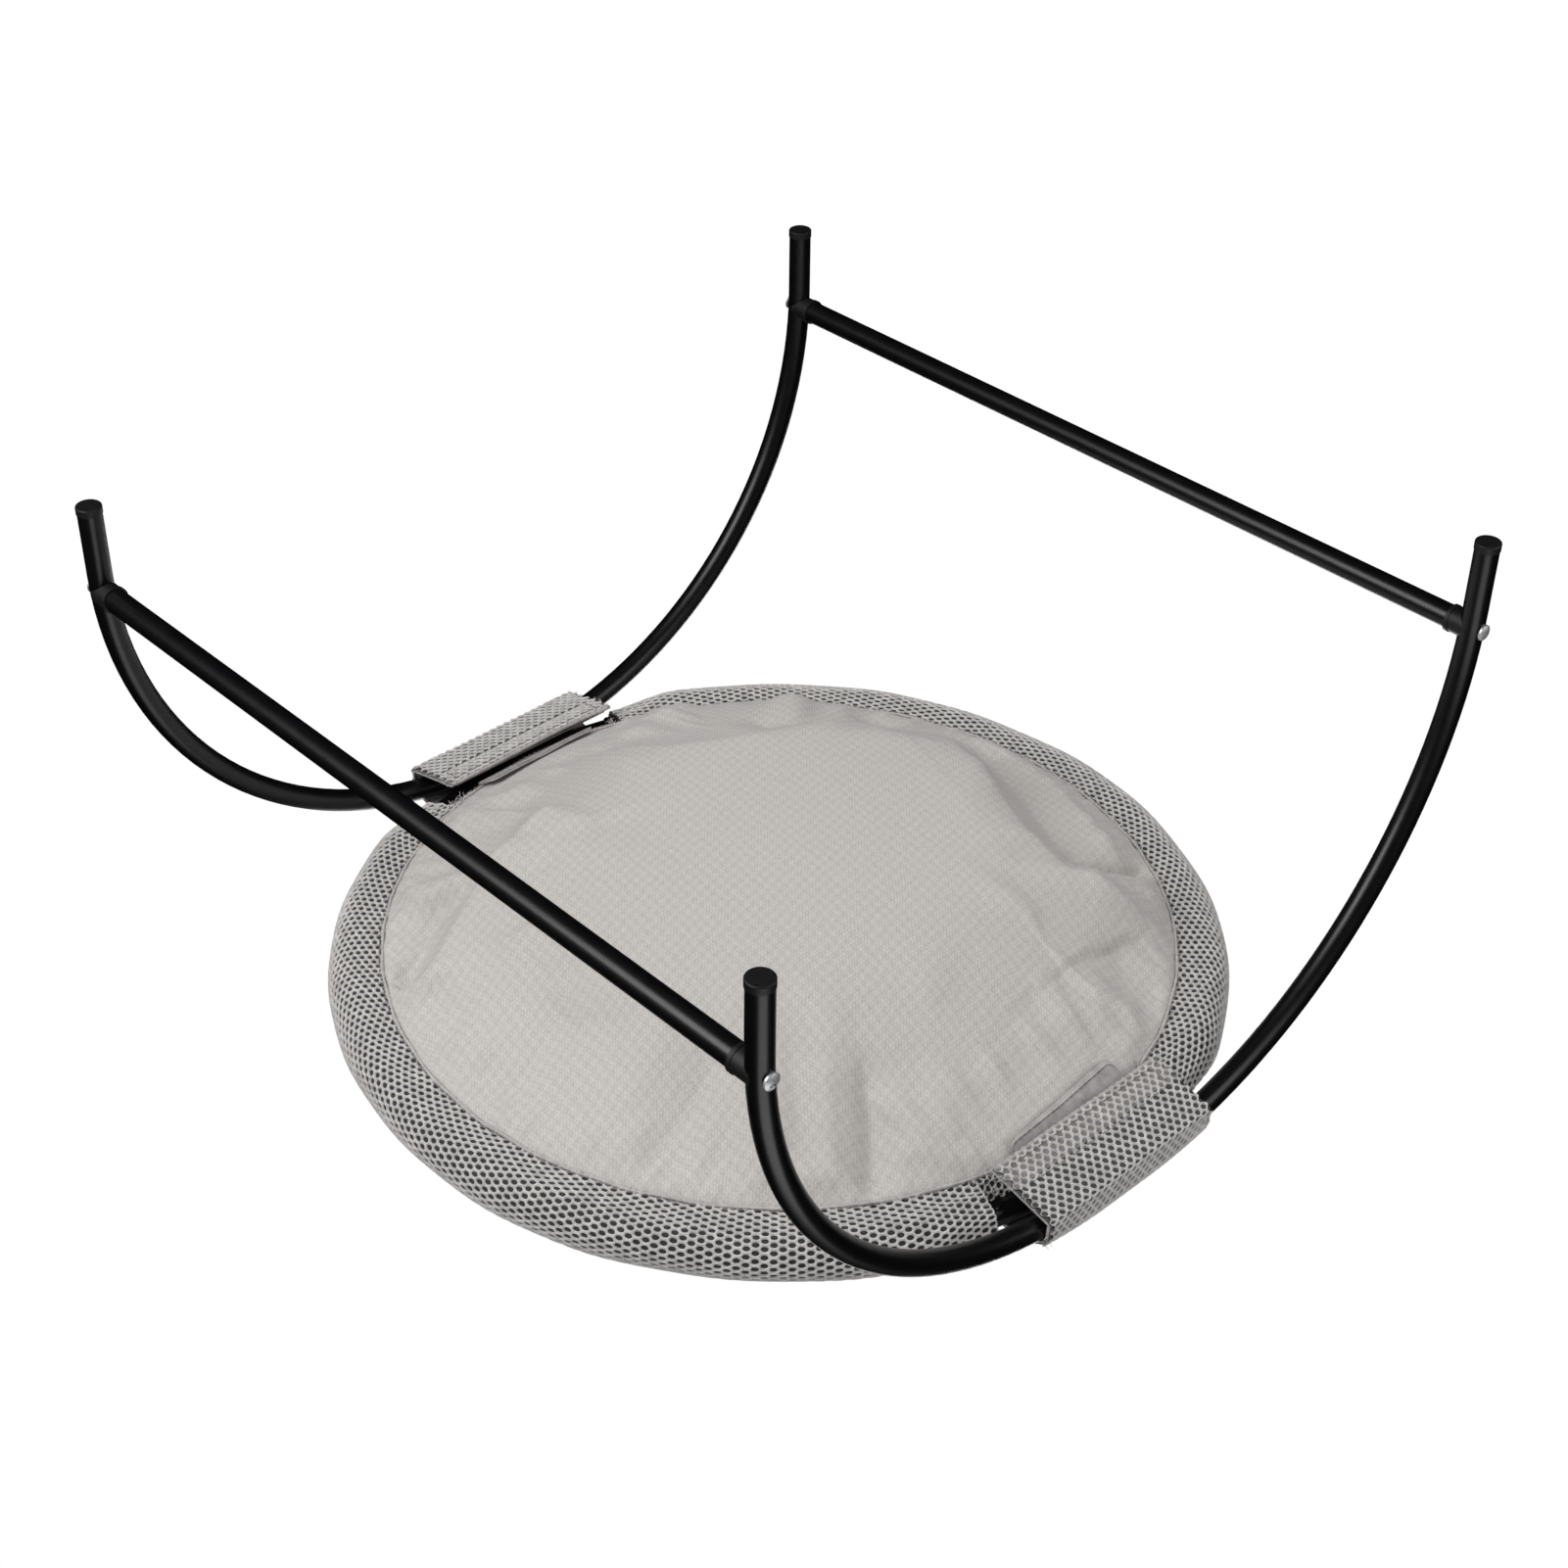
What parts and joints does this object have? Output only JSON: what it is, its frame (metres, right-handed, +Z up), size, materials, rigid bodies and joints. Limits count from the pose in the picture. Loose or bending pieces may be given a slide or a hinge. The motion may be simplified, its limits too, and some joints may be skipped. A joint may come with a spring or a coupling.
{
  "type": "raised pet bed",
  "caption": "Raised round pet bed: padded cloth basin sewn to a steel hoop in a mesh sleeve, strapped between two bent tube legs joined by straight crossbars.",
  "frame": {"origin": "on the floor under the middle of the bed, midway between the four feet", "axes": "+X along the crossbars, from the left leg tube to the right one; +Y from the front crossbar to the rear one; +Z up"},
  "size_m": [0.4806, 0.4718, 0.2669],
  "materials": {
    "black_steel": "satin powder coat",
    "black_plastic": "moulded, matt",
    "zinc_steel": "bright zinc plate",
    "spacer_mesh": "grey hexagonal spacer mesh",
    "knit_cloth": "warm grey fine knit",
    "lining_cloth": "warm grey soft cloth",
    "loop_velvet": "grey loop velvet",
    "hook_tape": "grey hook tape",
    "wadding": "white wadding and foam"
  },
  "bodies": {
    "frame_and_bed": {"leg_tube_left": "black_steel", "leg_tube_right": "black_steel", "crossbar_front": "black_steel", "crossbar_rear": "black_steel", "saddle_plug_front_left": "black_plastic", "saddle_plug_front_right": "black_plastic", "saddle_plug_rear_left": "black_plastic", "saddle_plug_rear_right": "black_plastic", "leg_screw_front_left": "zinc_steel", "leg_screw_front_right": "zinc_steel", "leg_screw_rear_left": "zinc_steel", "leg_screw_rear_right": "zinc_steel", "foot_cap_front_left": "black_plastic", "foot_cap_front_right": "black_plastic", "foot_cap_rear_left": "black_plastic", "foot_cap_rear_right": "black_plastic", "hoop_half_front": "black_steel", "hoop_half_rear": "black_steel", "hoop_rivet_left": "black_steel", "hoop_rivet_right": "black_steel", "hoop_foam_front": "wadding", "hoop_foam_rear": "wadding", "mesh_sleeve_front": "spacer_mesh", "mesh_sleeve_rear": "spacer_mesh", "under_cloth": "knit_cloth", "fill_pad": "wadding", "top_lining": "lining_cloth", "strap_left": "spacer_mesh", "strap_lining_left": "loop_velvet", "loop_tab_left": "loop_velvet", "strap_right": "spacer_mesh", "strap_lining_right": "loop_velvet", "loop_tab_right": "loop_velvet"},
    "strap_flap_left": {"flap_left": "spacer_mesh", "flap_lining_left": "loop_velvet", "hook_tape_left": "hook_tape"},
    "strap_flap_right": {"flap_right": "spacer_mesh", "flap_lining_right": "loop_velvet", "hook_tape_right": "hook_tape"}
  },
  "joints": [
    {"name": "flap_left_open", "type": "hinge", "parent": "frame_and_bed", "child": "strap_flap_left", "pos_m": [-0.2387, 0, 0.24061], "axis": [0, 1, 0], "range_deg": [0, 150]},
    {"name": "flap_right_open", "type": "hinge", "parent": "frame_and_bed", "child": "strap_flap_right", "pos_m": [0.2387, 0, 0.24061], "axis": [0, -1, 0], "range_deg": [0, 150]}
  ]
}
